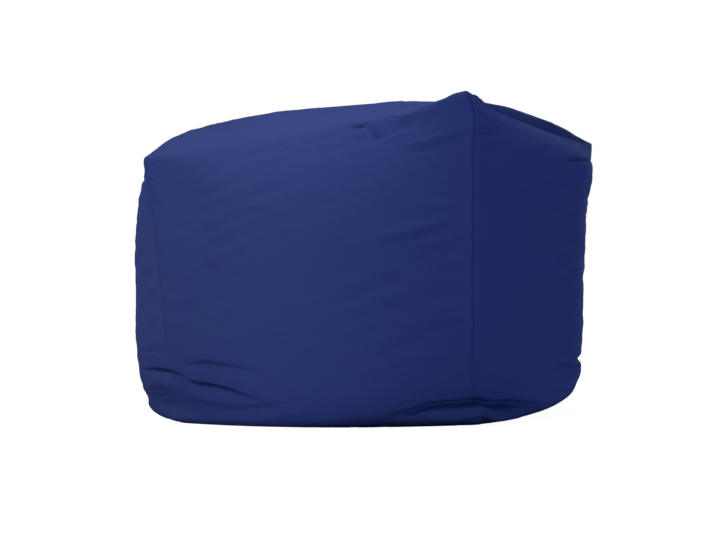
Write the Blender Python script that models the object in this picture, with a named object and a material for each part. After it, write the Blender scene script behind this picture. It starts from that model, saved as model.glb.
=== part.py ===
"""An outdoor pouf: a soft filled cube of navy cloth, sewn from a top, a base and four walls.

Metres, +Z up. The pouf stands on Z = 0, and its outline in plan is centred on the origin.
The front wall faces -Y and the right-hand wall faces +X. Each wall is as wide as one cut
panel, and the edges of the cube are its plain closed seams.
"""

import math

import bpy
import numpy as np

# Cut sizes of the cloth
PANEL_WIDTH = 0.45
WALL_CUT_HEIGHT = 0.40

# How far the filling lifts the middle of the top above its seams, and the roundness of that crown
CROWN = 0.063
CROWN_POWER = 3.0
CROWN_FULLNESS = 0.60

# How far each tip reaches along its seams, as a share of a panel
TIP_REACH = 0.18

# How far down its corner seam a tip leans, as a share of the wall's cloth
TIP_HEIGHT = 0.08

# Seams: how far the stitching draws the cloth in, and how wide the groove is
SEAM_DEPTH = 0.0025
SEAM_WIDTH = 0.014

# Grid lines along each panel's width, and how much closer they lie near its seams
PANEL_COLUMNS = 26
COLUMN_CROWDING = 0.30

# Grid lines up a wall: close together over the folds of the foot, wider above
FOOT_ROWS = 14
UPPER_ROWS = 17
FOOT_SHARE = 0.26
TOP_CROWDING = 0.55

# Corners in plan order. turn: degrees from +X at the top. tip_turn: degrees added at the very
# tip. foot_turn: degrees added at the foot, fading out over turn_reach, a share of the wall's
# cloth. top_radius, belly, foot_radius, height, tip: metres. belly is added to the profile's
# radius half-way up, and tip is the lift of the raised point.
CORNERS = {
    "front_left": {"turn": -132, "tip_turn": 0, "foot_turn": 15, "turn_reach": 1.0,
                   "top_radius": 0.292, "belly": 0.000, "foot_radius": 0.267,
                   "height": 0.299, "tip": 0.004},
    "front_right": {"turn": -45, "tip_turn": -2.5, "foot_turn": 7, "turn_reach": 0.2,
                    "top_radius": 0.292, "belly": 0.000, "foot_radius": 0.236,
                    "height": 0.357, "tip": 0.013},
    "back_right": {"turn": 40, "tip_turn": 0, "foot_turn": 5, "turn_reach": 1.0,
                   "top_radius": 0.327, "belly": -0.011, "foot_radius": 0.212,
                   "height": 0.335, "tip": 0.003},
    "back_left": {"turn": 135, "tip_turn": 0, "foot_turn": 4, "turn_reach": 1.0,
                  "top_radius": 0.296, "belly": 0.000, "foot_radius": 0.240,
                  "height": 0.340, "tip": 0.006},
}

# Walls in the same order, each from its own corner to the next one.
# face: degrees from +X. top_radius, belly, foot_radius: metres, at the wall's middle.
# sag: how far the top seam hangs below a straight line between its corners.
WALLS = {
    "front": {"face": -90, "top_radius": 0.236, "belly": 0.000, "foot_radius": 0.236, "sag": 0.012},
    "right": {"face": 0, "top_radius": 0.252, "belly": -0.017, "foot_radius": 0.210, "sag": 0.009},
    "back": {"face": 90, "top_radius": 0.236, "belly": 0.000, "foot_radius": 0.234, "sag": 0.010},
    "left": {"face": 180, "top_radius": 0.250, "belly": -0.001, "foot_radius": 0.246, "sag": 0.000},
}

# Upright profile of the filled cube, from the base seam to the top seam.
# cloth: share of the wall's cloth. height: share of the top height. corner, middle: radius in
# metres at a corner seam and at a wall's middle.
PROFILE = (
    {"cloth": 0.00, "height": 0.000, "corner": 0.240, "middle": 0.236},
    {"cloth": 0.05, "height": 0.022, "corner": 0.262, "middle": 0.258},
    {"cloth": 0.12, "height": 0.090, "corner": 0.276, "middle": 0.275},
    {"cloth": 0.25, "height": 0.235, "corner": 0.284, "middle": 0.286},
    {"cloth": 0.45, "height": 0.460, "corner": 0.286, "middle": 0.288},
    {"cloth": 0.65, "height": 0.680, "corner": 0.286, "middle": 0.286},
    {"cloth": 0.84, "height": 0.870, "corner": 0.289, "middle": 0.268},
    {"cloth": 1.00, "height": 1.000, "corner": 0.296, "middle": 0.236},
)

# How far up the wall's cloth the shape of the foot reaches
FOOT_REACH = 0.11

# Main folds of the walls, each a soft trough along a bent line, or a ridge where depth is
# negative. points: panels round from the front-left seam, and share of the wall's cloth.
# width: metres from the line to the fold's edge. depth: metres.
FOLDS = (
    {"where": "round the front-left seam", "width": 0.014, "depth": 0.006,
     "points": ((3.80, 0.198), (3.93, 0.208), (4.03, 0.200))},
    {"where": "front wall, upper crease of the foot", "width": 0.013, "depth": 0.005,
     "points": ((0.03, 0.242), (0.12, 0.247), (0.26, 0.240), (0.39, 0.220))},
    {"where": "front wall, puff between the creases", "width": 0.016, "depth": -0.003,
     "points": ((0.07, 0.212), (0.25, 0.205))},
    {"where": "front wall, lower crease of the foot", "width": 0.013, "depth": 0.006,
     "points": ((0.03, 0.190), (0.12, 0.177), (0.21, 0.168), (0.31, 0.140))},
    {"where": "front wall, soft crease near the floor", "width": 0.015, "depth": 0.003,
     "points": ((0.08, 0.103), (0.21, 0.092), (0.31, 0.100), (0.40, 0.128))},
    {"where": "front wall, soft swell over the creases", "width": 0.026, "depth": -0.002,
     "points": ((0.12, 0.345), (0.28, 0.325), (0.38, 0.328))},
    {"where": "front-right foot, long fold", "width": 0.015, "depth": 0.008,
     "points": ((0.73, 0.077), (0.84, 0.115), (0.99, 0.120), (1.14, 0.103), (1.29, 0.077))},
    {"where": "front-right foot, roll under the fold", "width": 0.016, "depth": -0.004,
     "points": ((0.76, 0.045), (0.93, 0.080), (1.06, 0.072), (1.20, 0.060))},
    {"where": "front wall, pucker at the top seam", "width": 0.014, "depth": 0.004,
     "points": ((0.68, 0.995), (0.72, 0.968), (0.75, 0.893))},
    {"where": "front wall, hollow beside the tip", "width": 0.030, "depth": 0.004,
     "points": ((0.85, 0.990), (0.81, 0.940))},
    {"where": "front wall, ridge from the seam", "width": 0.018, "depth": -0.003,
     "points": ((0.77, 0.880), (0.87, 0.865), (0.98, 0.880))},
    {"where": "front wall, hollow under the ridge", "width": 0.018, "depth": 0.003,
     "points": ((0.83, 0.830), (0.98, 0.845))},
    {"where": "right wall, hollow under the top seam", "width": 0.020, "depth": 0.004,
     "points": ((1.02, 0.890), (1.06, 0.883), (1.20, 0.905))},
    {"where": "right wall, low crease", "width": 0.014, "depth": 0.005,
     "points": ((1.34, 0.215), (1.50, 0.205), (1.72, 0.212))},
    {"where": "right wall, high crease", "width": 0.014, "depth": 0.003,
     "points": ((1.43, 0.715), (1.75, 0.730))},
    {"where": "back wall, crease of the foot", "width": 0.014, "depth": 0.005,
     "points": ((2.03, 0.150), (2.20, 0.165), (2.38, 0.150))},
    {"where": "round the back-left seam", "width": 0.014, "depth": 0.006,
     "points": ((2.78, 0.120), (2.99, 0.138), (3.22, 0.118))},
    {"where": "left wall, soft crease", "width": 0.016, "depth": 0.003,
     "points": ((3.40, 0.240), (3.62, 0.262))},
)


def column_of_profile(name):
    """One column of the upright profile as an array."""
    return np.array([row[name] for row in PROFILE])


def smooth_curve(at, knots, values):
    """A Catmull-Rom curve through (knots, values), read at the places in at."""
    slopes = np.gradient(values, knots)
    index = np.clip(np.searchsorted(knots, at, side="right") - 1, 0, len(knots) - 2)
    gap = knots[index + 1] - knots[index]
    step = (at - knots[index]) / gap
    low, high = values[index], values[index + 1]
    rise = (2 * step**3 - 3 * step**2 + 1) * low + (3 * step**2 - 2 * step**3) * high
    bend = (step**3 - 2 * step**2 + step) * slopes[index] + (step**3 - step**2) * slopes[index + 1]
    return rise + bend * gap


def fade(distance, reach):
    """One at no distance, easing to nothing at the reach."""
    near = np.clip(1 - distance / reach, 0, 1)
    return near * near * (3 - 2 * near)


def crowded(count):
    """Places from -1 to 1 that lie closer together at both ends."""
    even = np.linspace(-1, 1, count + 1)
    return (1 - COLUMN_CROWDING) * even + COLUMN_CROWDING * np.sin(even * math.pi / 2)


def corner_line(corner, cloth):
    """A corner seam's points, for shares of the wall's cloth: x, y and z, each an array."""
    knots = column_of_profile("cloth")
    radius = smooth_curve(cloth, knots, column_of_profile("corner"))
    radius += (corner["top_radius"] - PROFILE[-1]["corner"]) * cloth**3
    radius += (corner["foot_radius"] - PROFILE[0]["corner"]) * fade(cloth, FOOT_REACH)
    radius += 4 * corner["belly"] * cloth * (1 - cloth)
    turn = corner["turn"] + corner["foot_turn"] * fade(cloth, corner["turn_reach"])
    turn = np.radians(turn + corner["tip_turn"] * fade(1 - cloth, TIP_HEIGHT))
    height = corner["height"] * smooth_curve(cloth, knots, column_of_profile("height"))
    return radius * np.cos(turn), radius * np.sin(turn), height


def wall_points(index, across, cloth):
    """A wall's surface: across runs from -1 to 1 between its seams, cloth from 0 to 1 up it.

    Each level is the straight line between its two corner seams, pushed out towards the
    wall's face by a parabola that is highest in the middle.
    """
    wall = list(WALLS.values())[index]
    corners = list(CORNERS.values())
    start = corner_line(corners[index], cloth)
    end = corner_line(corners[(index + 1) % 4], cloth)
    share = (1 + across) / 2
    x, y, z = (a + (b - a) * share for a, b in zip(start, end, strict=True))
    knots = column_of_profile("cloth")
    middle = smooth_curve(cloth, knots, column_of_profile("middle"))
    middle += (wall["top_radius"] - PROFILE[-1]["middle"]) * cloth**3
    middle += (wall["foot_radius"] - PROFILE[0]["middle"]) * fade(cloth, FOOT_REACH)
    middle += 4 * wall["belly"] * cloth * (1 - cloth)
    face = math.radians(wall["face"])
    chord = ((start[0] + end[0]) * math.cos(face) + (start[1] + end[1]) * math.sin(face)) / 2
    swell = (middle - chord) * (1 - across**2)
    z = z - wall["sag"] * cloth**4 * (1 - across**2)
    z = z + tips(index, across) * fade(1 - cloth, TIP_REACH)
    return np.stack([x + swell * math.cos(face), y + swell * math.sin(face), z], axis=-1)


def tips(index, across):
    """How far the raised tips at a wall's two top corners lift the seam between them."""
    corners = list(CORNERS.values())
    at_start = corners[index]["tip"] * fade((1 + across) / 2, TIP_REACH)
    at_end = corners[(index + 1) % 4]["tip"] * fade((1 - across) / 2, TIP_REACH)
    return at_start + at_end


def top_points(across, back):
    """The top panel: a patch hung from its four seams, raised in the middle by the crown.

    across and back run from -1 to 1. The patch is the sum of the two surfaces ruled between
    opposite seams, less the one ruled between the corners.
    """
    one = np.ones_like(across)
    front = wall_points(0, across, one)
    right = wall_points(1, back, one)
    rear = wall_points(2, -across, one)
    left = wall_points(3, -back, one)
    s = ((1 + across) / 2)[..., None]
    t = ((1 + back) / 2)[..., None]
    corners = [wall_points(index, -one, one) for index in range(4)]
    ruled = front * (1 - t) + rear * t + left * (1 - s) + right * s
    flat = (corners[0] * (1 - s) + corners[1] * s) * (1 - t) + (corners[3] * (1 - s) + corners[2] * s) * t
    points = ruled - flat
    dome = (1 - abs(across) ** CROWN_POWER) * (1 - abs(back) ** CROWN_POWER)
    points[..., 2] += CROWN * dome**CROWN_FULLNESS
    return points


def cloth_levels():
    """Shares of the wall's cloth at which the grid lines lie."""
    foot = np.linspace(0, FOOT_SHARE, FOOT_ROWS + 1)
    rising = np.linspace(0, 1, UPPER_ROWS + 1)[1:]
    upper = FOOT_SHARE + (1 - FOOT_SHARE) * rising * (1 + TOP_CROWDING * (1 - rising))
    return np.concatenate([foot, upper])


def fold_depth(around, cloth):
    """How far the folds push the walls in, at panels round and shares of cloth."""
    depth = np.zeros_like(around)
    for fold in FOLDS:
        nearest = np.full_like(around, np.inf)
        for (a0, c0), (a1, c1) in zip(fold["points"], fold["points"][1:]):
            run = np.array([(a1 - a0) * PANEL_WIDTH, (c1 - c0) * WALL_CUT_HEIGHT])
            off_a = ((around - a0 + 2) % 4 - 2) * PANEL_WIDTH
            off_c = (cloth - c0) * WALL_CUT_HEIGHT
            along = np.clip((off_a * run[0] + off_c * run[1]) / (run @ run), 0, 1)
            nearest = np.minimum(nearest, np.hypot(off_a - along * run[0], off_c - along * run[1]))
        depth += fold["depth"] * fade(nearest, fold["width"])
    return depth


def build_cover():
    """The filled cover: a closed band of four walls, the top panel and the flat base."""
    columns = crowded(PANEL_COLUMNS)
    levels = cloth_levels()
    rows = len(levels)
    band = []
    seam_distance = []
    around = []
    for index in range(4):
        across, cloth = np.meshgrid(columns[:-1], levels, indexing="ij")
        band.append(wall_points(index, across, cloth))
        around.append(index + (1 + across) / 2)
        upright = (1 - abs(across)) / 2 * PANEL_WIDTH
        seam_distance.append(np.minimum(upright, (1 - cloth) * WALL_CUT_HEIGHT))
    ring = 4 * PANEL_COLUMNS
    walls = np.concatenate(band).reshape(ring * rows, 3)
    cloth = np.tile(levels, (ring, 1))
    inward = fold_depth(np.concatenate(around), cloth)
    inward += SEAM_DEPTH * fade(np.concatenate(seam_distance), SEAM_WIDTH)
    inward *= np.clip(cloth / 0.04, 0, 1)

    inner = columns[1:-1]
    across, back = np.meshgrid(inner, inner, indexing="ij")
    top = top_points(across, back).reshape(-1, 3)
    edge = (1 - np.maximum(abs(across), abs(back))) / 2 * PANEL_WIDTH
    top_inward = SEAM_DEPTH * fade(edge, SEAM_WIDTH)

    points = np.concatenate([walls, top])
    faces = band_faces(ring, rows) + top_faces(ring, rows) + [base_face(ring, rows)]
    mesh = bpy.data.meshes.new("pouf_cover")
    mesh.from_pydata(points.tolist(), [], faces)
    mesh.update()
    normals = np.array([vertex.normal[:] for vertex in mesh.vertices])
    push = np.concatenate([inward.reshape(-1), top_inward.reshape(-1)])
    points -= normals * push[:, None]
    points[:, :2] -= (points[:, :2].min(axis=0) + points[:, :2].max(axis=0)) / 2
    mesh.vertices.foreach_set("co", points.reshape(-1))
    mesh.update()
    mesh.shade_smooth()
    cover = bpy.data.objects.new("pouf_cover", mesh)
    bpy.context.scene.collection.objects.link(cover)
    return cover


def band_faces(ring, rows):
    """Quads of the walls' closed band, facing out."""
    faces = []
    for column in range(ring):
        beside = (column + 1) % ring
        for row in range(rows - 1):
            faces.append((column * rows + row, beside * rows + row,
                          beside * rows + row + 1, column * rows + row + 1))
    return faces


def top_faces(ring, rows):
    """Quads of the top panel, which share the band's top row at their seams."""
    side = PANEL_COLUMNS

    def vertex(i, j):
        if j == 0:
            column = i
        elif i == side:
            column = side + j
        elif j == side:
            column = 3 * side - i
        elif i == 0:
            column = (4 * side - j) % ring
        else:
            return ring * rows + (i - 1) * (side - 1) + j - 1
        return column * rows + rows - 1

    return [
        (vertex(i, j), vertex(i + 1, j), vertex(i + 1, j + 1), vertex(i, j + 1))
        for i in range(side)
        for j in range(side)
    ]


def base_face(ring, rows):
    """The base: one flat face through the band's lowest row, facing down."""
    return tuple(column * rows for column in reversed(range(ring)))


def navy_cloth():
    """Plain woven outdoor cloth, navy and matt."""
    material = bpy.data.materials.new("navy_cloth")
    material.use_nodes = True
    shader = material.node_tree.nodes["Principled BSDF"]
    shader.inputs["Base Color"].default_value = (0.022, 0.036, 0.140, 1)
    shader.inputs["Roughness"].default_value = 0.85
    shader.inputs["Metallic"].default_value = 0
    return material


for old in list(bpy.data.objects):
    bpy.data.objects.remove(old)

build_cover().data.materials.append(navy_cloth())
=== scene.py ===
"""The looks of a soft cube-shaped outdoor pouf in navy woven cloth.

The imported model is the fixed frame. One padded piece, the sewn cover, stands for its solid:
six panels of cloth, filled, settled by a short cloth simulation, then drawn in at the seams.
Metres, +Z up. The front wall faces -Y and the right-hand wall faces +X.
"""

import logging
import math
from dataclasses import dataclass
from enum import IntEnum
from typing import Any

import bpy
import mathutils
import numpy as np
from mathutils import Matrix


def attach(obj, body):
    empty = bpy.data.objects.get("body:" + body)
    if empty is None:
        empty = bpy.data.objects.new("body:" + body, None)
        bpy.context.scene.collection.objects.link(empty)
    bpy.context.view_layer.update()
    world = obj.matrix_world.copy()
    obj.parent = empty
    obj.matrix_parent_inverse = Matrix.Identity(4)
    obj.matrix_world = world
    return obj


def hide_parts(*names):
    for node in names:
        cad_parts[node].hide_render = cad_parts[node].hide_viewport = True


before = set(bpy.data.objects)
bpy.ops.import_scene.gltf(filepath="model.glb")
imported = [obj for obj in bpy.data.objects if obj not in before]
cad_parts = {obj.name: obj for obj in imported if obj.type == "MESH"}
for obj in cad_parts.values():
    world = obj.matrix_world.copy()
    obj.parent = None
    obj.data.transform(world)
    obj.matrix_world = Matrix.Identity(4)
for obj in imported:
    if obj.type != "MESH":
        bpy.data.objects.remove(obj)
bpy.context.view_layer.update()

Array = np.ndarray
LOG = logging.getLogger("pouf")

COVER_NODE = "pouf_cover"
FULL_TURN = 2 * math.pi
TINY = 1e-9
LEVEL_STEPS = 1001


class Side(IntEnum):
    """The four walls in turn. A wall starts at the corner of the same number."""

    FRONT = 0
    RIGHT = 1
    BACK = 2
    LEFT = 3


def fade(distance: Array, reach: float) -> Array:
    """One at no distance, easing to nothing at the reach, by a cubic step."""
    near = np.clip(1 - distance / reach, 0, 1)
    return near * near * (3 - 2 * near)


def smooth_curve(at: Array, knots: Array, values: Array) -> Array:
    """Read a smooth curve through a few points.

    Each span is a cubic Hermite curve whose end slopes are the mean slopes of the points.

    Args:
        at: Places to read.
        knots: Places of the points, rising.
        values: The points' values.

    Returns:
        The curve's value at each place.
    """
    slopes = np.gradient(values, knots)
    index = np.clip(np.searchsorted(knots, at, side="right") - 1, 0, len(knots) - 2)
    gap = knots[index + 1] - knots[index]
    step = (at - knots[index]) / gap
    rise = (2 * step**3 - 3 * step**2 + 1) * values[index]
    rise += (3 * step**2 - 2 * step**3) * values[index + 1]
    bend = (step**3 - 2 * step**2 + step) * slopes[index]
    bend += (step**3 - step**2) * slopes[index + 1]
    return rise + bend * gap


@dataclass(frozen=True)
class Corner:
    """A corner seam of the cube, in degrees from +X and in metres.

    turn is its place at the top, tip_turn is added at the very tip and foot_turn at the foot,
    fading out over turn_reach of the wall's cloth. belly is added to the radius half-way up,
    shoulder is added just under the top, and tip is the lift of the raised point.
    """

    turn: float
    tip_turn: float
    foot_turn: float
    turn_reach: float
    top_radius: float
    belly: float
    foot_radius: float
    height: float
    tip: float
    shoulder: float


@dataclass(frozen=True)
class Wall:
    """A side wall of the cube: where it faces, its radii at the middle and its top seam's sag.

    roll is how far the band just under the top seam stands out.
    """

    face: float
    top_radius: float
    belly: float
    foot_radius: float
    sag: float
    roll: float


@dataclass(frozen=True)
class Fold:
    """A soft trough, or a ridge where depth is negative, along a bent line on the walls.

    points are (panels round from the front-left seam, share of the wall's cloth). width is the
    distance from the line to the trough's edge, and depth how far it is pushed in, in metres,
    at the place peak, from 0 to 1 along the line. roll is how far the cloth below the trough
    stands out, over roll_width.
    """

    points: tuple[tuple[float, float], ...]
    width: float
    depth: float
    roll: float = 0.0
    peak: float = 0.5
    roll_width: float = 0.016

    def push(self, around: Array, cloth: Array, panel: float, wall: float) -> Array:
        """How far this fold pushes the cloth in.

        The trough falls off with the distance from the line by a cubic step, and grows from
        nothing at both ends of the line by half a parabola up to its peak. The roll is the same
        step about a line one roll_width below the first.

        Args:
            around: Panels round from the front-left seam.
            cloth: Share of the wall's cloth.
            panel: Width of a panel.
            wall: Height of a wall's cloth.

        Returns:
            Metres inwards.
        """
        runs = []
        for (a0, c0), (a1, c1) in zip(self.points, self.points[1:]):
            runs.append((a0, c0, (a1 - a0) * panel, (c1 - c0) * wall))
        lengths = [math.hypot(run[2], run[3]) for run in runs]
        total, done = sum(lengths), 0.0
        nearest = np.full_like(around, np.inf)
        signed = np.zeros_like(around)
        place = np.zeros_like(around)
        for (a0, c0, run_a, run_c), length in zip(runs, lengths, strict=True):
            off_a = ((around - a0 + 2) % 4 - 2) * panel
            off_c = (cloth - c0) * wall
            along = np.clip((off_a * run_a + off_c * run_c) / length**2, 0, 1)
            gap_a, gap_c = off_a - along * run_a, off_c - along * run_c
            gap = np.hypot(gap_a, gap_c)
            closer = gap < nearest
            nearest = np.where(closer, gap, nearest)
            signed = np.where(closer, gap_c, signed)
            place = np.where(closer, (done + along * length) / total, place)
            done += length
        rise = np.minimum(place / self.peak, (1 - place) / (1 - self.peak))
        swell = rise * (2 - rise)
        push = self.depth * fade(nearest, self.width) * swell
        if self.roll:
            aside = np.sqrt(np.maximum(nearest**2 - signed**2, 0))
            from_roll = np.hypot(signed + self.roll_width, aside)
            push -= self.roll * fade(from_roll, self.roll_width) * swell
        return push


@dataclass(frozen=True)
class Ripples:
    """Fine unevenness of the cloth: a sum of waves of chance direction, length and phase.

    long and short are the mean wave lengths along and up the cloth, in metres, and spread is
    the range by which each wave's number of cycles differs from the mean. height is the spread
    of the sum, and patch the size of the patches in which it comes and goes, about patch_level.
    """

    seed: int
    long: float
    short: float
    height: float
    patch: float
    waves: int = 24
    spread: tuple[float, float] = (0.6, 1.7)
    patch_waves: int = 6
    patch_level: float = 0.5
    patch_swing: float = 0.25

    def read(self, along: Array, up: Array) -> Array:
        """The sum of the waves, times a slow wave field that fades it in patches."""
        chance = np.random.default_rng(self.seed)
        total = np.zeros_like(along)
        for _ in range(self.waves):
            stretch = chance.uniform(*self.spread, 2) * chance.choice([-1, 1], 2)
            phase = chance.uniform(0, FULL_TURN)
            cycles = along / self.long * stretch[0] + up / self.short * stretch[1]
            total += np.sin(FULL_TURN * cycles + phase)
        total *= self.height / math.sqrt(self.waves / 2)
        mask = np.zeros_like(along)
        for _ in range(self.patch_waves):
            turn, phase = chance.uniform(0, FULL_TURN, 2)
            way = along * math.cos(turn) + up * math.sin(turn)
            mask += np.sin(way * FULL_TURN / self.patch + phase)
        return total * np.clip(self.patch_level + mask * self.patch_swing, 0, 1)


# turn, tip_turn, foot_turn, turn_reach, top_radius, belly, foot_radius, height, tip, shoulder
CORNERS = (
    Corner(-132, 0, 12, 1.0, 0.290, -0.004, 0.270, 0.303, 0.004, 0.000),
    Corner(-45, -2.5, 7, 0.2, 0.292, 0.000, 0.242, 0.365, 0.010, 0.000),
    Corner(38.5, 0, 5, 1.0, 0.327, 0.017, 0.206, 0.338, 0.003, 0.003),
    Corner(135, 0, 4, 1.0, 0.296, 0.000, 0.240, 0.350, 0.006, 0.000),
)

# face, top_radius, belly, foot_radius, sag, roll
WALLS = (
    Wall(-90, 0.236, -0.006, 0.236, 0.007, 0.000),
    Wall(0, 0.240, -0.017, 0.210, 0.009, 0.019),
    Wall(90, 0.236, 0.000, 0.234, 0.010, 0.002),
    Wall(180, 0.245, -0.005, 0.240, 0.000, 0.002),
)

# Each fold's points, then its width and depth.
FOOT_FOLDS = (
    Fold(((3.78, 0.256), (3.92, 0.272), (4.03, 0.270)), 0.006, 0.0016),
    Fold(
        ((3.80, 0.196), (3.92, 0.211), (3.99, 0.214), (4.03, 0.204), (4.055, 0.196)),
        0.0034, 0.0070, roll=0.0030, peak=0.65,
    ),
    Fold(((0.03, 0.214), (0.045, 0.190)), 0.005, 0.0025),
    Fold(
        ((0.045, 0.241), (0.09, 0.243), (0.15, 0.246), (0.21, 0.241), (0.27, 0.232), (0.38, 0.209)),
        0.0032, 0.0056, roll=0.0020, peak=0.18,
    ),
    Fold(
        ((0.05, 0.188), (0.11, 0.180), (0.18, 0.173), (0.23, 0.163), (0.30, 0.140), (0.36, 0.118)),
        0.0034, 0.0078, roll=0.0040, peak=0.22,
    ),
    Fold(
        ((0.13, 0.084), (0.24, 0.095), (0.30, 0.100), (0.36, 0.107), (0.43, 0.116)),
        0.008, 0.0032, roll=0.0015, peak=0.6,
    ),
    Fold(((0.10, 0.338), (0.21, 0.325), (0.32, 0.316)), 0.009, -0.0012),
    Fold(((0.12, 0.275), (0.22, 0.256), (0.30, 0.246)), 0.007, -0.0010),
    Fold(
        (
            (0.72, 0.062), (0.76, 0.077), (0.80, 0.086), (0.83, 0.095),
            (0.87, 0.105), (0.94, 0.107), (1.00, 0.113), (1.04, 0.101),
            (1.11, 0.100), (1.17, 0.094), (1.27, 0.080),
        ),
        0.0064, 0.0150, roll=0.0150, roll_width=0.023,
    ),
    Fold(((1.02, 0.142), (1.07, 0.145), (1.14, 0.134), (1.20, 0.120)), 0.009, -0.0016),
    Fold(((0.985, 0.030), (0.99, 0.060), (1.00, 0.085)), 0.0060, 0.0110, peak=0.4),
    Fold(((0.92, 0.042), (0.96, 0.057), (0.99, 0.062)), 0.005, 0.0050, peak=0.8),
    Fold(((1.005, 0.028), (1.045, 0.042)), 0.008, -0.0035),
    Fold(
        ((1.28, 0.192), (1.40, 0.205), (1.56, 0.204), (1.80, 0.212), (1.97, 0.207)),
        0.007, 0.0050, roll=0.002, peak=0.8,
    ),
    Fold(((1.34, 0.135), (1.48, 0.128), (1.64, 0.135)), 0.010, 0.0020),
    Fold(((2.03, 0.150), (2.20, 0.165), (2.38, 0.150)), 0.007, 0.0055, roll=0.002, peak=0.3),
    Fold(((2.62, 0.215), (2.78, 0.232), (2.94, 0.226)), 0.007, 0.0030, roll=0.001),
    Fold(
        ((2.74, 0.100), (2.88, 0.124), (2.99, 0.132), (3.10, 0.124), (3.26, 0.098)),
        0.007, 0.0080, roll=0.004,
    ),
    Fold(((3.38, 0.235), (3.50, 0.258), (3.64, 0.262)), 0.008, 0.0025),
)

TOP_FOLDS = (
    Fold(((0.670, 0.999), (0.693, 0.978)), 0.0045, 0.0070, peak=0.75),
    Fold(((0.718, 0.999), (0.697, 0.978)), 0.0045, 0.0060, peak=0.75),
    Fold(((0.720, 0.985), (0.728, 0.955), (0.738, 0.930), (0.762, 0.893)), 0.006, 0.0046, peak=0.6),
    Fold(((0.69, 0.960), (0.73, 0.915)), 0.011, -0.0016),
    Fold(((0.735, 0.900), (0.77, 0.905), (0.80, 0.917), (0.83, 0.948)), 0.006, -0.0012),
    Fold(((0.785, 0.999), (0.805, 0.984)), 0.0045, 0.0030),
    Fold(((0.875, 0.999), (0.895, 0.985)), 0.0045, 0.0025),
    Fold(((0.86, 0.985), (0.80, 0.935)), 0.016, 0.0024),
    Fold(
        ((0.78, 0.868), (0.84, 0.875), (0.89, 0.878), (0.94, 0.879), (0.995, 0.886)),
        0.006, -0.0022, peak=0.7,
    ),
    Fold(((0.80, 0.846), (0.88, 0.846), (0.93, 0.857), (0.985, 0.866)), 0.008, 0.0024, peak=0.7),
    Fold(((1.000, 0.868), (1.04, 0.880), (1.09, 0.896)), 0.006, 0.0026, peak=0.4),
    Fold(((1.01, 0.848), (1.07, 0.862), (1.16, 0.886)), 0.005, -0.0012),
    Fold(
        ((1.30, 0.815), (1.43, 0.852), (1.54, 0.874), (1.75, 0.900), (1.95, 0.920)),
        0.005, 0.0042,
    ),
    Fold(((1.32, 0.748), (1.50, 0.770), (1.70, 0.750), (1.90, 0.738)), 0.007, 0.0030, peak=0.6),
    Fold(((2.10, 0.930), (2.26, 0.915)), 0.010, 0.0024),
    Fold(((2.70, 0.872), (2.84, 0.866), (2.97, 0.878)), 0.007, 0.0030, peak=0.7),
    Fold(((3.02, 0.900), (3.16, 0.885)), 0.010, 0.0026),
    Fold(((3.72, 0.900), (3.86, 0.892), (3.97, 0.905)), 0.009, 0.0020),
)

WALL_FOLDS = (
    Fold(
        ((0.70, 0.580), (0.77, 0.588), (0.82, 0.593), (0.87, 0.600), (0.94, 0.611)),
        0.0055, -0.0026,
    ),
    Fold(((0.74, 0.572), (0.84, 0.578), (0.92, 0.590)), 0.006, 0.0016),
    Fold(((0.72, 0.556), (0.80, 0.560), (0.88, 0.566), (0.98, 0.568)), 0.006, -0.0018),
    Fold(((0.86, 0.664), (0.93, 0.660), (0.99, 0.668)), 0.006, -0.0016),
    Fold(((0.76, 0.343), (0.84, 0.340), (0.92, 0.345), (0.99, 0.348)), 0.006, -0.0026),
    Fold(((0.78, 0.326), (0.90, 0.328), (0.98, 0.334)), 0.007, 0.0018),
    Fold(((1.01, 0.350), (1.08, 0.346), (1.16, 0.352)), 0.006, -0.0014),
    Fold(((0.80, 0.458), (0.88, 0.456), (0.95, 0.460)), 0.006, -0.0015),
    Fold(((0.82, 0.250), (0.91, 0.246), (0.98, 0.252)), 0.006, -0.0012),
    Fold(((0.18, 0.578), (0.26, 0.560), (0.33, 0.544)), 0.009, -0.0016),
    Fold(((0.40, 0.640), (0.47, 0.632), (0.53, 0.640)), 0.008, -0.0010),
    Fold(((0.47, 0.420), (0.54, 0.412), (0.60, 0.420)), 0.007, -0.0010),
    Fold(((0.52, 0.250), (0.50, 0.300), (0.47, 0.340)), 0.008, -0.0010),
    Fold(((0.15, 0.960), (0.16, 0.700), (0.20, 0.280)), 0.075, 0.0065, peak=0.4),
    Fold(((2.62, 0.560), (2.80, 0.585), (2.98, 0.580)), 0.007, 0.0020),
    Fold(((2.04, 0.440), (2.20, 0.452), (2.34, 0.440)), 0.007, -0.0018),
    Fold(((1.96, 0.640), (2.04, 0.650), (2.20, 0.630)), 0.007, -0.0018),
    Fold(((2.40, 0.700), (2.50, 0.692), (2.62, 0.706)), 0.008, -0.0014),
    Fold(((2.96, 0.700), (3.08, 0.694), (3.26, 0.712)), 0.008, -0.0018),
    Fold(((3.40, 0.520), (3.52, 0.532), (3.66, 0.524)), 0.008, -0.0016),
    Fold(((3.04, 0.380), (3.16, 0.390), (3.28, 0.384)), 0.007, 0.0016),
)

FOLDS = FOOT_FOLDS + TOP_FOLDS + WALL_FOLDS


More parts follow.
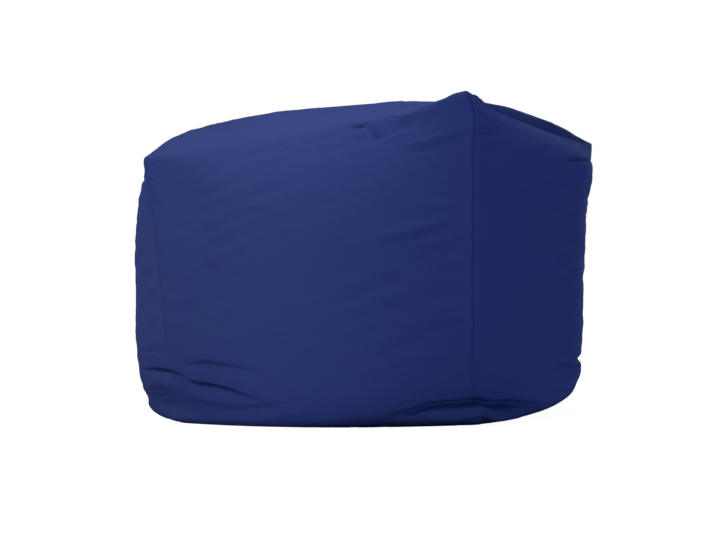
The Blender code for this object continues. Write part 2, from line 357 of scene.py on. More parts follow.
class Socket:
    """A shader socket whose arithmetic adds Math nodes."""

    def __init__(self, nodes: "Nodes", socket: Any) -> None:
        """Keep the node builder and the socket."""
        self.nodes = nodes
        self.socket = socket

    def _math(self, operation: str, *values: Any) -> "Socket":
        """One Math node on the given values."""
        return self.nodes.add("ShaderNodeMath", {"operation": operation}, dict(enumerate(values)))

    def __add__(self, other: Any) -> "Socket":
        """Sum."""
        return self._math("ADD", self, other)

    __radd__ = __add__

    def __mul__(self, other: Any) -> "Socket":
        """Product."""
        return self._math("MULTIPLY", self, other)

    __rmul__ = __mul__

    def __rsub__(self, other: Any) -> "Socket":
        """Difference from a number."""
        return self._math("SUBTRACT", other, self)

    def sine(self) -> "Socket":
        """Sine."""
        return self._math("SINE", self)

    def size(self) -> "Socket":
        """Absolute value."""
        return self._math("ABSOLUTE", self)

    def greater(self, other: Any) -> "Socket":
        """The greater of the two."""
        return self._math("MAXIMUM", self, other)

    def more_than(self, other: Any) -> "Socket":
        """One where this is the larger."""
        return self._math("GREATER_THAN", self, other)


class Nodes:
    """Adds nodes to one material, each with its settings first and then its sockets."""

    def __init__(self, material: Any) -> None:
        """Empty the material's tree."""
        material.use_nodes = True
        self.tree = material.node_tree
        self.tree.nodes.clear()

    def add(
        self, kind: str, settings: dict[str, Any], inputs: dict[Any, Any], out: Any = 0
    ) -> Socket:
        """Add a node.

        Args:
            kind: Blender's node type.
            settings: Properties of the node.
            inputs: Socket name or number to a value or a Socket.
            out: Name or number of the output wanted.

        Returns:
            The output socket.
        """
        node = self.tree.nodes.new(kind)
        for name, value in settings.items():
            setattr(node, name, value)
        for name, value in inputs.items():
            if isinstance(value, Socket):
                self.tree.links.new(value.socket, node.inputs[name])
            else:
                node.inputs[name].default_value = value
        return Socket(self, node.outputs[out] if node.outputs else None)

    def part(self, vector: Socket, axis: str) -> Socket:
        """One part of a vector: X, Y or Z."""
        return self.add("ShaderNodeSeparateXYZ", {}, {"Vector": vector}, axis)

    def mix(self, factor: Socket, first: Any, second: Any) -> Socket:
        """The first colour where the factor is nothing, and the second where it is one.

        Args:
            factor: Share of the second colour.
            first: A colour or a Socket.
            second: A colour or a Socket.

        Returns:
            The mixed colour.
        """
        inputs = {"Factor": factor, 6: first, 7: second}
        return self.add("ShaderNodeMix", {"data_type": "RGBA"}, inputs, 2)


@dataclass(frozen=True)
class NavyCloth:
    """Plain woven outdoor cloth: flat yarns over and under, matt, with an uneven dye.

    shaded is painted shade: the darker colour that the second UV map puts on the top beside
    its right-hand seam, where the cloth lies in the shade of that seam. The three shares say
    how much the slubs, the dye and the weave each make of its light and dark.
    slub_height is the slubs' height beside the yarns'. Lengths are in metres.
    """

    name: str = "navy_cloth"
    light: tuple[float, float, float, float] = (0.0275, 0.0430, 0.157, 1)
    dark: tuple[float, float, float, float] = (0.0195, 0.0310, 0.115, 1)
    shaded: tuple[float, float, float, float] = (0.0110, 0.0210, 0.088, 1)
    roughness: float = 0.90
    shine: float = 0.02
    yarn: float = 0.0011
    weave_height: float = 0.00012
    weave_strength: float = 0.8
    slub_scale: float = 60.0
    slub_length: tuple[float, float, float] = (1.0, 9.0, 1.0)
    slub_detail: float = 4.0
    slub_height: float = 0.8
    dye_scale: float = 9.0
    dye_detail: float = 3.0
    slub_share: float = 0.5
    dye_share: float = 0.3
    weave_share: float = 0.2

    def build(self) -> Any:
        """Make the material.

        Returns:
            The material, which reads the cloth's cut coordinates in metres from its UV map.
        """
        material = bpy.data.materials.new(self.name)
        nodes = Nodes(material)
        cut = nodes.add("ShaderNodeUVMap", {"uv_map": "cut"}, {})
        weft = (nodes.part(cut, "X") * (math.pi / self.yarn)).sine()
        warp = (nodes.part(cut, "Y") * (math.pi / self.yarn)).sine()
        over = (weft * warp).more_than(0)
        height = over * weft.size() + (1 - over) * warp.size()
        slub_place = nodes.add("ShaderNodeMapping", {}, {"Vector": cut, "Scale": self.slub_length})
        slub = nodes.add(
            "ShaderNodeTexNoise",
            {},
            {"Vector": slub_place, "Scale": self.slub_scale, "Detail": self.slub_detail},
        )
        place = nodes.add("ShaderNodeTexCoord", {}, {}, "Object")
        dye = nodes.add(
            "ShaderNodeTexNoise",
            {},
            {"Vector": place, "Scale": self.dye_scale, "Detail": self.dye_detail},
        )
        shade = slub * self.slub_share + dye * self.dye_share + height * self.weave_share
        painted_shade = nodes.add("ShaderNodeUVMap", {"uv_map": "painted_shade"}, {})
        colour = nodes.mix(shade, self.dark, self.light)
        # Painted shade: the cloth is darkened towards shaded where the second UV map says, on the
        # top beside its right-hand seam.
        colour = nodes.mix(nodes.part(painted_shade, "X"), colour, self.shaded)
        grain = nodes.add(
            "ShaderNodeBump",
            {},
            {
                "Height": height + slub * self.slub_height,
                "Distance": self.weave_height,
                "Strength": self.weave_strength,
            },
        )
        shader = nodes.add(
            "ShaderNodeBsdfPrincipled",
            {},
            {
                "Base Color": colour,
                "Roughness": self.roughness,
                "Specular IOR Level": self.shine,
                "Normal": grain,
            },
        )
        nodes.add("ShaderNodeOutputMaterial", {}, {"Surface": shader})
        return material


@dataclass(frozen=True)
class Settling:
    """A short cloth simulation that lets slack cloth buckle on its filling.

    The cloth is cut longer upwards than the form it covers, by slack_up, and wider by
    slack_round. Its seams are held, and elsewhere a soft pull of strength hold keeps it on the
    filling while the filling presses from within. limit is how far a point may end from where
    it began, in metres. steps is the simulation's steps for each frame, weight is a point's
    weight in kilograms, and the rest are Blender's own measures of stiffness and drag.
    """

    slack_up: float = 0.014
    slack_round: float = 0.003
    pressure: float = 3.0
    hold: float = 0.11
    hold_stiffness: float = 1.0
    seam_hold: float = 0.004
    frames: int = 14
    limit: float = 0.005
    steps: int = 6
    weight: float = 0.25
    stretching: float = 25.0
    shearing: float = 12.0
    bending: float = 0.08
    drag: float = 3.0

    def run(self, mesh: Any, edge: Array) -> Array:
        """Settle the cloth.

        Args:
            mesh: The cover's coarse mesh, which is left as it is.
            edge: Each point's distance from the nearest seam.

        Returns:
            The settled points, one in a row.
        """
        scene = bpy.context.scene
        cloth = bpy.data.objects.new("settling", mesh.copy())
        scene.collection.objects.link(cloth)
        start = np.empty(len(mesh.vertices) * 3)
        mesh.vertices.foreach_get("co", start)
        cloth.shape_key_add(name="form")
        cut = cloth.shape_key_add(name="cut")
        scale = np.array([1 + self.slack_round, 1 + self.slack_round, 1 + self.slack_up])
        cut.data.foreach_set("co", (start.reshape(-1, 3) * scale).reshape(-1))
        group = cloth.vertex_groups.new(name="held")
        held = edge < self.seam_hold
        group.add(np.flatnonzero(held).tolist(), 1.0, "REPLACE")
        group.add(np.flatnonzero(~held).tolist(), self.hold, "REPLACE")
        fabric = cloth.modifiers.new("fabric", "CLOTH")
        self._dress(fabric.settings, cut)
        fabric.collision_settings.use_collision = False
        fabric.point_cache.frame_start = 1
        fabric.point_cache.frame_end = self.frames
        for frame_number in range(1, self.frames + 1):
            scene.frame_set(frame_number)
        shape = cloth.evaluated_get(bpy.context.evaluated_depsgraph_get()).to_mesh()
        end = np.empty_like(start)
        shape.vertices.foreach_get("co", end)
        scene.frame_set(1)
        bpy.data.objects.remove(cloth)
        return self._limited(start.reshape(-1, 3), end.reshape(-1, 3))

    def _dress(self, settings: Any, cut: Any) -> None:
        """Set the fabric's stiffness, its pressure and what holds it."""
        settings.quality = self.steps
        settings.mass = self.weight
        settings.tension_stiffness = settings.compression_stiffness = self.stretching
        settings.shear_stiffness = self.shearing
        settings.bending_stiffness = self.bending
        settings.air_damping = self.drag
        settings.use_pressure = True
        settings.uniform_pressure_force = self.pressure
        settings.effector_weights.gravity = 0.0
        settings.vertex_group_mass = "held"
        settings.pin_stiffness = self.hold_stiffness
        settings.rest_shape_key = cut

    def _limited(self, start: Array, end: Array) -> Array:
        """The end points, none of them further than the limit from its start."""
        moved = end - start
        distance = np.linalg.norm(moved, axis=1, keepdims=True)
        LOG.info("settled: moved %.1f mm at most", 1000 * distance.max())
        return start + moved * np.minimum(1, self.limit / np.maximum(distance, TINY))


@dataclass
class PoufCover:
    """The sewn cover: a closed band of four walls, a crowned top and a flat base.

    Sizes are in metres, and the places and reaches on a wall are shares of its cloth.
    """

    name: str = "sewn_cover"

    # The cut: a panel's width and a wall's height.
    panel: float = 0.45
    wall: float = 0.40

    # The top: the lift of its middle over its seams, how square its crown is across and back,
    # how much higher it is on the left, the steep rise along its side seams, and where the painted
    # shade beside its right-hand seam begins and how far it fades.
    crown: float = 0.034
    crown_power: float = 2.8
    crown_reach: float = 4.5
    crown_lean: float = 0.09
    flank: float = 0.021
    flank_power: float = 22.0
    flank_front: float = 2.0
    flank_back: float = 3.8
    shade_edge: float = 0.93
    shade_fade: float = 0.05

    # The walls: where their corner tips, foot, shoulders and rolled band begin and end.
    tip_reach: float = 0.18
    tip_height: float = 0.08
    foot_reach: float = 0.11
    shoulder_place: float = 0.90
    roll_place: float = 0.88
    roll_reach: float = 1.9

    # The seams, and how much shallower the one round the top is.
    seam_depth: float = 0.0013
    seam_width: float = 0.0034
    seam_lip: float = 0.0009
    top_seam_ease: float = 0.7
    top_seam_reach: float = 0.03

    # The grid of one wall before its last subdivision, crowded near its seams and creases.
    columns: int = 60
    rows: int = 70
    crowding: float = 0.55
    foot_rows: float = 1.8
    foot_rows_place: float = 0.16
    foot_rows_reach: float = 0.15
    top_rows: float = 1.2
    top_rows_reach: float = 0.16

    # The unevenness of the cloth between its seams, and the puckers beside them.
    creasing: tuple[Ripples, ...] = (
        Ripples(3, 0.070, 0.014, 0.00020, 0.12),
        Ripples(5, 0.130, 0.040, 0.00055, 0.22),
        Ripples(8, 0.022, 0.014, 0.00016, 0.09),
    )
    crease_reach: float = 0.030
    cap_offset: float = 0.05
    puckers: Ripples = Ripples(11, 0.034, 0.030, 0.0005, 0.16)
    pucker_reach: float = 0.030
    pucker_start: float = 0.002
    pucker_slant: float = 1.3

    # Folds start a little above the base seam, and near the foot they are pushed level.
    fold_start: float = 0.04
    level_start: float = 0.3
    level_reach: float = 0.18

    settling: Settling = Settling()

    # The upright profile: height and radius at shares of a wall's cloth.
    profile_cloth: tuple[float, ...] = (0.00, 0.05, 0.12, 0.25, 0.45, 0.65, 0.84, 1.00)
    profile_height: tuple[float, ...] = (0.000, 0.022, 0.090, 0.235, 0.460, 0.680, 0.870, 1.000)
    profile_corner: tuple[float, ...] = (0.240, 0.262, 0.276, 0.284, 0.286, 0.286, 0.289, 0.296)
    profile_middle: tuple[float, ...] = (0.236, 0.258, 0.275, 0.286, 0.288, 0.286, 0.268, 0.236)

    def _profile(self, cloth: Array, values: tuple[float, ...]) -> Array:
        """One column of the upright profile, read at shares of the wall's cloth."""
        return smooth_curve(cloth, np.array(self.profile_cloth), np.array(values))

    def corner_line(self, corner: Corner, cloth: Array) -> tuple[Array, Array, Array]:
        """A corner seam's x, y and z: the profile's radius and height, turned about Z."""
        radius = self._profile(cloth, self.profile_corner)
        radius += (corner.top_radius - self.profile_corner[-1]) * cloth**3
        radius += (corner.foot_radius - self.profile_corner[0]) * fade(cloth, self.foot_reach)
        radius += 4 * corner.belly * cloth * (1 - cloth)
        radius += corner.shoulder * fade(abs(cloth - self.shoulder_place), 1 - self.shoulder_place)
        turn = corner.turn + corner.foot_turn * fade(cloth, corner.turn_reach)
        turn = np.radians(turn + corner.tip_turn * fade(1 - cloth, self.tip_height))
        height = corner.height * self._profile(cloth, self.profile_height)
        return radius * np.cos(turn), radius * np.sin(turn), height

    def wall_points(self, index: int, across: Array, cloth: Array) -> Array:
        """A wall's surface.

        Each level is the straight line between its two corner seams, pushed out towards the
        wall's face by a parabola that is highest in the middle. The rolled band does the same
        under the top seam: half a parabola up to the seam and a cubic step down the wall.

        Args:
            index: Which Side.
            across: From -1 to 1 between the wall's seams.
            cloth: From 0 at the base seam to 1 at the top seam.

        Returns:
            Points, with x, y and z last.
        """
        wall = WALLS[index]
        start = self.corner_line(CORNERS[index], cloth)
        end = self.corner_line(CORNERS[(index + 1) % 4], cloth)
        share = (1 + across) / 2
        x, y, z = (low + (high - low) * share for low, high in zip(start, end, strict=True))
        middle = self._profile(cloth, self.profile_middle)
        middle += (wall.top_radius - self.profile_middle[-1]) * cloth**3
        middle += (wall.foot_radius - self.profile_middle[0]) * fade(cloth, self.foot_reach)
        middle += 4 * wall.belly * cloth * (1 - cloth)
        face = math.radians(wall.face)
        chord = ((start[0] + end[0]) * math.cos(face) + (start[1] + end[1]) * math.sin(face)) / 2
        swell = (middle - chord) * (1 - across**2)
        rise = (cloth - self.roll_place) / (1 - self.roll_place)
        roll = np.where(rise > 0, 1 - rise**2, fade(-rise, self.roll_reach))
        swell += wall.roll * roll * (1 - across**2)
        z = z - wall.sag * cloth**4 * (1 - across**2)
        lift = CORNERS[index].tip * fade((1 + across) / 2, self.tip_reach)
        lift += CORNERS[(index + 1) % 4].tip * fade((1 - across) / 2, self.tip_reach)
        z = z + lift * fade(1 - cloth, self.tip_reach)
        return np.stack([x + swell * math.cos(face), y + swell * math.sin(face), z], axis=-1)

    def cap_points(self, across: Array, back: Array, level: float, crown: float) -> Array:
        """The top or the base: a patch hung from its four seams.

        The patch is the sum of the two surfaces ruled between opposite seams, less the one
        ruled between the corners. The crown is a product of two powers, flat in the middle and
        a little higher on the left, and the flank a high power that lifts the patch steeply
        from its left and right seams.

        Args:
            across: From -1 to 1 along X.
            back: From -1 to 1 along Y.
            level: Share of the walls' cloth where the seams lie.
            crown: Lift of the patch's middle.

        Returns:
            Points, with x, y and z last.
        """
        at = np.full_like(across, level)
        one = np.ones_like(across)
        front = self.wall_points(Side.FRONT, across, at)
        right = self.wall_points(Side.RIGHT, back, at)
        rear = self.wall_points(Side.BACK, -across, at)
        left = self.wall_points(Side.LEFT, -back, at)
        corner = [self.wall_points(side, -one, at) for side in Side]
        s = ((1 + across) / 2)[..., None]
        t = ((1 + back) / 2)[..., None]
        near = corner[Side.FRONT] * (1 - s) + corner[Side.RIGHT] * s
        far = corner[Side.LEFT] * (1 - s) + corner[Side.BACK] * s
        points = front * (1 - t) + rear * t + left * (1 - s) + right * s
        points = points - near * (1 - t) - far * t
        dome = (1 - abs(across) ** self.crown_power) * (1 - abs(back) ** self.crown_reach)
        flank = (1 - abs(across) ** self.flank_power) * self.flank / self.crown
        flank *= 1 - abs(back) ** np.where(back > 0, self.flank_back, self.flank_front)
        points[..., 2] += crown * (dome * (1 - self.crown_lean * across) + flank)
        return points

    def columns_across(self) -> Array:
        """Places of the grid lines across a panel, closer together near its seams."""
        even = np.linspace(-1, 1, self.columns + 1)
        return (1 - self.crowding) * even + self.crowding * np.sin(even * math.pi / 2)

    def levels(self) -> Array:
        """Places of the grid lines up a wall: closer together at the foot and the top seam."""
        fine = np.linspace(0, 1, LEVEL_STEPS)
        foot = fade(abs(fine - self.foot_rows_place), self.foot_rows_reach)
        top = fade(1 - fine, self.top_rows_reach)
        total = np.cumsum(1 + self.foot_rows * foot + self.top_rows * top)
        total -= total[0]
        return np.interp(np.linspace(0, total[-1], self.rows + 1), total, fine)

    def grid(self) -> dict[str, Array]:
        """Lay the whole cover as one closed grid.

        Returns:
            points and faces. For each face corner uv (its cut coordinates) and the second map's
            share of painted shade, then nothing. For each point round (panels round the walls),
            cloth (share up the wall), edge (distance from the nearest seam) and wall (true on the
            band of walls).
        """
        lines, levels = self.columns_across(), self.levels()
        n, m = self.columns, self.rows
        across, cloth = np.meshgrid(lines[:-1], levels, indexing="ij")
        band_points = np.concatenate([self.wall_points(side, across, cloth) for side in Side])
        around = np.concatenate([side + (1 + across) / 2 for side in Side])
        up = np.tile(levels, (4 * n, 1))
        side = (1 - abs(np.tile(across, (4, 1)))) / 2 * self.panel
        edge = np.minimum(side, np.minimum(1 - up, up) * self.wall)
        band = np.arange(4 * n * (m + 1)).reshape(4 * n, m + 1)

        inner = lines[1:-1]
        a, b = np.meshgrid(inner, inner, indexing="ij")
        cap_edge = (1 - np.maximum(abs(a), abs(b))) / 2 * self.panel
        top = self.cap_points(a, b, 1.0, self.crown)
        base = self.cap_points(a, b, 0.0, 0.0)
        first_top = band.size
        first_base = first_top + (n - 1) ** 2

        closed = np.concatenate([band, band[:1]])
        faces = [self._quads(closed)]
        faces.append(self._quads(self._cap_index(band, -1, first_top)))
        faces.append(self._quads(self._cap_index(band, 0, first_base))[:, ::-1])
        wall_lines = np.meshgrid(lines * self.panel / 2, levels * self.wall, indexing="ij")
        cap_lines = np.meshgrid(lines, lines, indexing="ij")
        cap_cut = np.stack(cap_lines, -1) * self.panel / 2
        uv = [self._quads(np.stack(wall_lines, -1))] * 4
        uv.append(self._quads(cap_cut))
        uv.append(self._quads(cap_cut)[:, ::-1])
        uv = np.concatenate(uv)

        # Painted shade: this share darkens the top's cloth beside its right-hand flank, as shade
        # would.
        painted_shade = np.zeros_like(uv)
        painted_shade[4 * n * m : 4 * n * m + n * n, :, 0] = self._quads(self.painted_shade_share(cap_lines[0]))
        cap_count = (n - 1) ** 2
        cap_round = self._seam_place(a, b)
        cap_edge = cap_edge.reshape(-1)
        sheets = [sheet.reshape(-1, 3) for sheet in (band_points, top, base)]
        return {
            "points": np.concatenate(sheets),
            "faces": np.concatenate(faces),
            "uv": uv,
            "painted_shade": painted_shade,
            "round": np.concatenate([around.reshape(-1), cap_round, cap_round]),
            "cloth": np.concatenate([up.reshape(-1), np.ones(cap_count), np.zeros(cap_count)]),
            "edge": np.concatenate([edge.reshape(-1), cap_edge, cap_edge]),
            "wall": np.repeat([True, False], [band.size, 2 * cap_count]),
        }

    def painted_shade_share(self, across: Array) -> Array:
        """How much painted shade each place across the top gets beside its right-hand flank."""
        return fade(np.maximum(self.shade_edge - across, 0), self.shade_fade)

    @staticmethod
    def _quads(grid: Array) -> Array:
        """Each cell of a grid as its four corners in turn, cells in one row."""
        corners = [grid[:-1, :-1], grid[1:, :-1], grid[1:, 1:], grid[:-1, 1:]]
        cells = np.stack(corners, axis=2)
        return cells.reshape(-1, *cells.shape[2:])

    def _cap_index(self, band: Array, row: int, first: int) -> Array:
        """Point numbers of a cap's grid, whose rim is one row of the band."""
        n = self.columns
        index = np.empty((n + 1, n + 1), dtype=int)
        index[1:-1, 1:-1] = first + np.arange((n - 1) ** 2).reshape(n - 1, n - 1)
        step = np.arange(n + 1)
        index[:, 0] = band[step, row]
        index[n, :] = band[n + step, row]
        index[:, n] = band[3 * n - step, row]
        index[0, :] = band[(4 * n - step) % (4 * n), row]
        return index

    @staticmethod
    def _seam_place(across: Array, back: Array) -> Array:
        """Panels round the cube of the seam point that lies nearest to a point of a cap."""
        place = np.where(
            abs(back) >= abs(across),
            np.where(back < 0, (1 + across) / 2, 2 + (1 - across) / 2),
            np.where(across > 0, 1 + (1 + back) / 2, 3 + (1 - back) / 2),
        )
        return place.reshape(-1)

    def push_in(self, grid: dict[str, Array]) -> Array:
        """How far the cloth is pushed in from its smooth shape.

        The sum of the folds, which belong to the walls, the seams' valleys, the puckers that
        run out from the seams, and the unevenness of the cloth between them.

        Args:
            grid: The cover's grid.

        Returns:
            Metres inwards for each point.
        """
        around, cloth, edge = grid["round"], grid["cloth"], grid["edge"]
        push = sum(fold.push(around, cloth, self.panel, self.wall) for fold in FOLDS)
        push = push * grid["wall"] * np.clip(cloth / self.fold_start, 0, 1)
        near_top = fade(1 - cloth, self.top_seam_reach)
        push += self.seam_pull(edge) * (1 - self.top_seam_ease * near_top)
        along, up = around * self.panel, cloth * self.wall
        open_cloth = 1 - fade(edge, self.crease_reach)
        cross = np.where(grid["wall"] > 0.5, up, self.cap_offset + edge)
        for ripples in self.creasing:
            push += ripples.read(along, cross) * open_cloth
        near_seam = fade(edge, self.pucker_reach) * np.clip(edge / self.pucker_start, 0, 1)
        slanted = along + self.pucker_slant * up
        push += self.puckers.read(slanted, np.zeros_like(up)) * near_seam
        return push

    def seam_pull(self, edge: Array) -> Array:
        """How far a seam draws the cloth in: a sharp valley between two low shoulders."""
        valley = self.seam_depth * np.clip(1 - edge / self.seam_width, 0, 1) ** 2
        rise = edge / self.seam_width
        return valley - self.seam_lip * np.clip(rise * np.exp(1 - rise), 0, 1)

    def build(self, cloth: Any) -> Any:
        """Make the cover: lay the grid, settle it, then draw in its folds and seams.

        Args:
            cloth: Its material.

        Returns:
            The object, with its place in its mesh.
        """
        grid = self.grid()
        mesh = bpy.data.meshes.new(self.name)
        self._fill(mesh, grid)
        points = grid["points"]
        points = self.settling.run(mesh, grid["edge"])
        mesh.vertices.foreach_set("co", points.reshape(-1))
        mesh = self._finer(mesh)
        kept = ("turn_x", "turn_y", "cloth", "edge", "wall")
        fine = {name: self._read(mesh, name) for name in kept}
        fine["round"] = np.arctan2(fine["turn_y"], fine["turn_x"]) * 2 / math.pi % 4
        points = self._points(mesh)
        points -= self._outwards(mesh, fine) * self.push_in(fine)[:, None]
        low, high = points.min(axis=0), points.max(axis=0)
        points[:, :2] -= (low[:2] + high[:2]) / 2
        points[:, 2] = np.maximum(points[:, 2], 0)
        mesh.vertices.foreach_set("co", points.reshape(-1))
        mesh.update()
        mesh.shade_smooth()
        mesh.materials.append(cloth)
        cover = bpy.data.objects.new(self.name, mesh)
        bpy.context.scene.collection.objects.link(cover)
        LOG.info("%s: %d faces", self.name, len(mesh.polygons))
        return cover

    def _finer(self, mesh: Any) -> Any:
        """The mesh after one smooth subdivision, with its attributes."""
        coarse = bpy.data.objects.new("coarse", mesh)
        bpy.context.scene.collection.objects.link(coarse)
        finer = coarse.modifiers.new("finer", "SUBSURF")
        finer.levels = finer.render_levels = 1
        graph = bpy.context.evaluated_depsgraph_get()
        result = bpy.data.meshes.new_from_object(coarse.evaluated_get(graph))
        result.name = self.name
        bpy.data.objects.remove(coarse)
        bpy.data.meshes.remove(mesh)
        return result

    @staticmethod
    def _read(mesh: Any, name: str) -> Array:
        """A number that the mesh keeps for each point."""
        values = np.empty(len(mesh.vertices))
        mesh.attributes[name].data.foreach_get("value", values)
        return values

    @staticmethod
    def _points(mesh: Any) -> Array:
        """The mesh's points, one in a row."""
        points = np.empty(len(mesh.vertices) * 3)
        mesh.vertices.foreach_get("co", points)
        return points.reshape(-1, 3)

    def _outwards(self, mesh: Any, fine: dict[str, Array]) -> Array:
        """The mesh's normals at its points, turned level towards the foot of the walls."""
        normals = np.empty(len(mesh.vertices) * 3)
        mesh.vertex_normals.foreach_get("vector", normals)
        normals = normals.reshape(-1, 3)
        upright = np.clip(fine["cloth"] / self.level_reach - self.level_start, 0, 1)
        normals[:, 2] *= np.where(fine["wall"] > 0.5, upright, 1)
        return normals / np.maximum(np.linalg.norm(normals, axis=1, keepdims=True), TINY)

    @staticmethod
    def _fill(mesh: Any, grid: dict[str, Array]) -> None:
        """Put the grid into a mesh: points, four-cornered faces, UV maps and point values.

        The place round the walls is kept as a point of a circle, so that it blends over the
        seam where it starts again.
        """
        faces = grid["faces"]
        mesh.vertices.add(len(grid["points"]))
        mesh.vertices.foreach_set("co", grid["points"].reshape(-1))
        mesh.loops.add(faces.size)
        mesh.loops.foreach_set("vertex_index", faces.reshape(-1))
        mesh.polygons.add(len(faces))
        mesh.polygons.foreach_set("loop_start", np.arange(0, faces.size, 4))
        mesh.update(calc_edges=True)
        for name, key in (("cut", "uv"), ("painted_shade", "painted_shade")):
            mesh.uv_layers.new(name=name).data.foreach_set("uv", grid[key].reshape(-1))
        turn = grid["round"] * math.pi / 2
        kept = {"turn_x": np.cos(turn), "turn_y": np.sin(turn)}
        kept |= {name: grid[name].astype(float) for name in ("cloth", "edge", "wall")}
        for name, values in kept.items():
            mesh.attributes.new(name, "FLOAT", "POINT").data.foreach_set("value", values)


@dataclass(frozen=True)
class Lamp:
    """A broad lamp: its direction in degrees, its strength and its colour.

    A lamp with a distance is a square softbox that far from the pouf's middle, in watts. One
    without is far away, spread wide by spread degrees, in watts on a square metre.
    """

    name: str
    azimuth: float
    elevation: float
    strength: float
    colour: tuple[float, float, float]
    distance: float = 0.0
    box: float = 0.4
    spread: float = 24.0


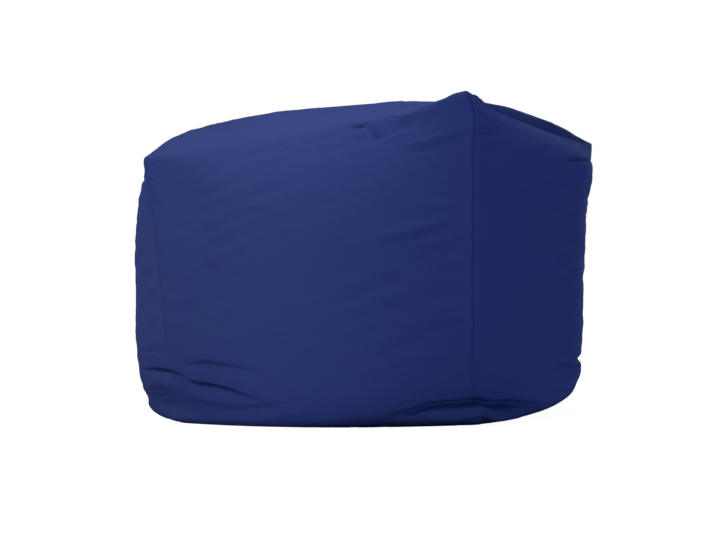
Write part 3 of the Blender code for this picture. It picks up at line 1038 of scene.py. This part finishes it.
@dataclass
class Studio:
    """A pale floor, soft light mostly from above and the left, and the photograph's camera.

    azimuth, elevation, distance and offset say where the camera stands, and target where it
    looks. bounce is the light that the floor's glow gives the pouf, and under the dimmer glow
    beneath the pouf, a painted shadow, out to under_from, with the bounce reached at under_to.
    floor_glow and backdrop are what the camera sees of the floor and of the surround.
    """

    azimuth: float = 18.4
    elevation: float = 5.0
    distance: float = 2.2
    lens: float = 87.8
    sensor: float = 36.0
    offset: tuple[float, float, float] = (0.0055, 0.0015, 0.0)
    target: tuple[float, float, float] = (0.0008, -0.0001, 0.175)
    floor_size: float = 40.0
    lamps: tuple[Lamp, ...] = (
        Lamp("key", -26.0, 66.0, 2.4, (1.0, 0.93, 0.91), distance=0.9),
        Lamp("overhead", 52.0, 70.0, 4.4, (1.0, 0.93, 0.91), distance=0.9),
        Lamp("front", -14.0, 22.0, 2.85, (1.0, 0.97, 0.88), distance=0.9),
        Lamp("low left", -45.0, 3.0, 0.95, (0.60, 0.96, 1.0)),
        Lamp("left", -118.0, 25.0, 1.65, (0.72, 0.82, 1.0)),
        Lamp("low right", 65.0, 3.0, 1.85, (0.42, 0.66, 1.0)),
        Lamp("back", 185.0, 4.0, 1.2, (0.70, 0.82, 1.0)),
    )
    lamp_height: float = 0.18
    backdrop: tuple[float, float, float] = (1.0, 1.0, 1.0)
    surround: tuple[float, float, float] = (0.004, 0.006, 0.012)
    bounce: tuple[float, float, float] = (0.44, 0.41, 0.63)
    under: tuple[float, float, float] = (0.01, 0.01, 0.02)
    under_from: float = 0.245
    under_to: float = 0.285
    floor_glow: float = 0.97
    floor_matt: float = 0.3

    @staticmethod
    def _towards(azimuth: float, elevation: float) -> Array:
        """Unit vector towards a place seen at an azimuth and an elevation."""
        turn, rise = math.radians(azimuth), math.radians(elevation)
        flat = math.cos(rise)
        return np.array([math.sin(turn) * flat, -math.cos(turn) * flat, math.sin(rise)])

    @staticmethod
    def _aim(obj: Any, away: Array) -> None:
        """Turn a camera or a light so that it looks against the vector away."""
        back = away / np.linalg.norm(away)
        right = np.cross([0.0, 0.0, 1.0], back)
        right /= np.linalg.norm(right)
        axes = np.stack([right, np.cross(back, right), back], axis=1)
        obj.rotation_euler = mathutils.Matrix(axes.tolist()).to_euler()

    def camera(self) -> None:
        """Add the camera: it stands where the photograph's stood and looks at the target."""
        data = bpy.data.cameras.new("camera")
        data.lens = self.lens
        data.sensor_width = self.sensor
        camera = bpy.data.objects.new("camera", data)
        stand = self._towards(self.azimuth, self.elevation) * self.distance + np.array(self.offset)
        camera.location = stand
        self._aim(camera, stand - np.array(self.target))
        bpy.context.scene.collection.objects.link(camera)
        bpy.context.scene.camera = camera

    def lights(self) -> None:
        """Add the lamps and a dim blue surround that the camera sees as white."""
        for lamp in self.lamps:
            away = self._towards(lamp.azimuth, lamp.elevation)
            data = bpy.data.lights.new(lamp.name, "AREA" if lamp.distance else "SUN")
            data.energy = lamp.strength
            data.color = lamp.colour
            data.specular_factor = 0.0
            light = bpy.data.objects.new(lamp.name, data)
            if lamp.distance:
                data.size = lamp.box
                light.location = away * lamp.distance + np.array([0.0, 0.0, self.lamp_height])
            else:
                data.angle = math.radians(lamp.spread)
            self._aim(light, away)
            bpy.context.scene.collection.objects.link(light)
        world = bpy.data.worlds.new("surround")
        bpy.context.scene.world = world
        nodes = Nodes(world)
        seen = nodes.add("ShaderNodeLightPath", {}, {}, "Is Camera Ray")
        colour = nodes.mix(seen, (*self.surround, 1), (*self.backdrop, 1))
        surround = nodes.add("ShaderNodeBackground", {}, {"Color": colour})
        nodes.add("ShaderNodeOutputWorld", {}, {"Surface": surround})

    def floor(self) -> None:
        """Add a wide pale floor, bright of itself so that shadows on it stay faint."""
        half = self.floor_size / 2
        corners = [(-half, -half, 0), (half, -half, 0), (half, half, 0), (-half, half, 0)]
        mesh = bpy.data.meshes.new("floor")
        mesh.from_pydata(corners, [], [(0, 1, 2, 3)])
        material = bpy.data.materials.new("floor")
        nodes = Nodes(material)
        seen = nodes.add("ShaderNodeLightPath", {}, {}, "Is Camera Ray")
        matt = nodes.add("ShaderNodeBsdfDiffuse", {}, {"Color": (self.floor_matt,) * 3 + (1,)})
        place = nodes.add("ShaderNodeTexCoord", {}, {}, "Object")
        away = nodes.add("ShaderNodeVectorMath", {"operation": "ABSOLUTE"}, {0: place})
        far = nodes.part(away, "X").greater(nodes.part(away, "Y"))
        clear = nodes.add(
            "ShaderNodeMapRange",
            {},
            {"Value": far, "From Min": self.under_from, "From Max": self.under_to},
        )
        # Painted shadow: the floor's glow is dimmed to under beneath the pouf, where its shadow
        # would fall.
        bounce = nodes.mix(clear, (*self.under, 1), (*self.bounce, 1))
        colour = nodes.mix(seen, bounce, (self.floor_glow,) * 3 + (1,))
        glow = nodes.add("ShaderNodeEmission", {}, {"Color": colour})
        both = nodes.add("ShaderNodeAddShader", {}, {0: matt, 1: glow})
        nodes.add("ShaderNodeOutputMaterial", {}, {"Surface": both})
        mesh.materials.append(material)
        floor = bpy.data.objects.new("floor", mesh)
        bpy.context.scene.collection.objects.link(floor)


def main() -> None:
    """Build the studio and the cover, and report each piece."""
    logging.basicConfig(level=logging.INFO, format="%(message)s")
    studio = Studio()
    studio.camera()
    studio.lights()
    studio.floor()
    cloth = NavyCloth().build()
    cover = PoufCover().build(cloth)
    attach(cover, "root")
    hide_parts(COVER_NODE)
    bpy.context.scene.view_settings.view_transform = "Standard"


if __name__ == "__main__":
    main()
